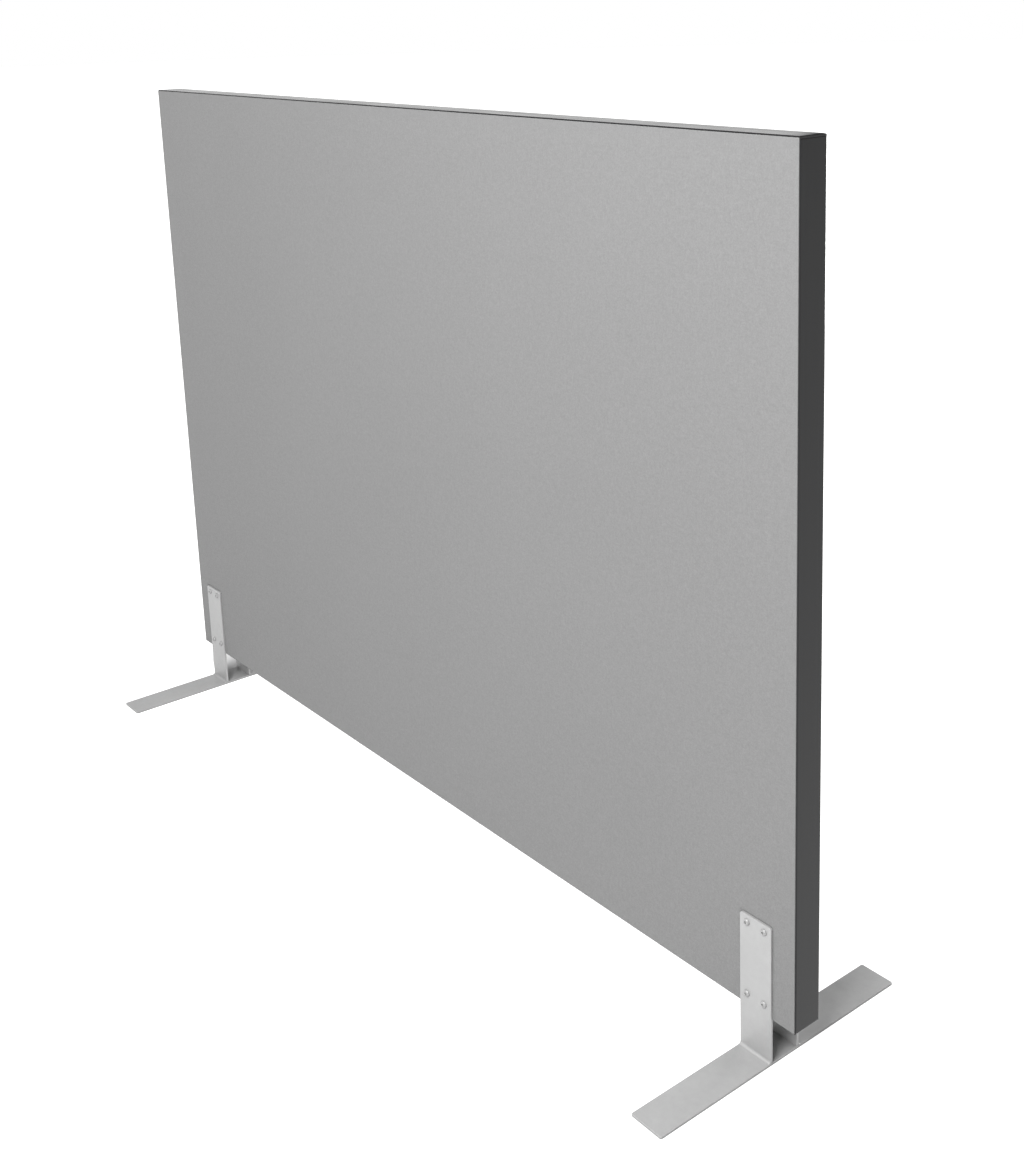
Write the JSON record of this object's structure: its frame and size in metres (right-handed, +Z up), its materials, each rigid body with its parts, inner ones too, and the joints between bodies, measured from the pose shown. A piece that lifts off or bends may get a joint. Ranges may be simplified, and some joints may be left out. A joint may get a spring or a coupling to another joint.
{
  "type": "acoustic divider screen",
  "caption": "Free-standing acoustic divider screen: a fabric-covered panel in a thin dark edge profile, held between steel uprights on flat steel feet.",
  "frame": {"origin": "on the floor, under the middle of the panel's width and thickness", "axes": "+X along the panel's width, -Y out of the front face, +Z up"},
  "size_m": [1.8, 0.48, 1.31],
  "materials": {
    "grey_fabric": "plain woven wool-blend upholstery fabric, stretched flat",
    "felt": "pressed polyester felt",
    "acoustic_slab": "light fibrous slab",
    "timber": "planed softwood, unfinished",
    "charcoal_coating": "satin charcoal coating on an extruded profile",
    "silver_coating": "fine silver-grey powder coating",
    "foot_screw": "plain bright steel, domed head with a hexagon socket",
    "dark_screw": "blackened steel",
    "zinc_steel": "yellow zinc plate"
  },
  "bodies": {
    "root": {"top_rail": "timber", "bottom_rail": "timber", "left_stile": "timber", "right_stile": "timber", "left_stud": "timber", "right_stud": "timber", "left_foot_block": "timber", "right_foot_block": "timber", "frame_screws": "zinc_steel", "left_core": "acoustic_slab", "centre_core": "acoustic_slab", "right_core": "acoustic_slab", "front_felt": "felt", "back_felt": "felt", "front_fabric": "grey_fabric", "back_fabric": "grey_fabric", "top_edge_profile": "charcoal_coating", "bottom_edge_profile": "charcoal_coating", "left_edge_profile": "charcoal_coating", "right_edge_profile": "charcoal_coating", "edge_profile_screws": "dark_screw", "left_floor_bar": "silver_coating", "left_front_upright": "silver_coating", "left_rear_upright": "silver_coating", "right_floor_bar": "silver_coating", "right_front_upright": "silver_coating", "right_rear_upright": "silver_coating", "left_threaded_inserts": "zinc_steel", "right_threaded_inserts": "zinc_steel", "left_front_screws": "foot_screw", "left_rear_screws": "foot_screw", "right_front_screws": "foot_screw", "right_rear_screws": "foot_screw"}
  },
  "joints": []
}
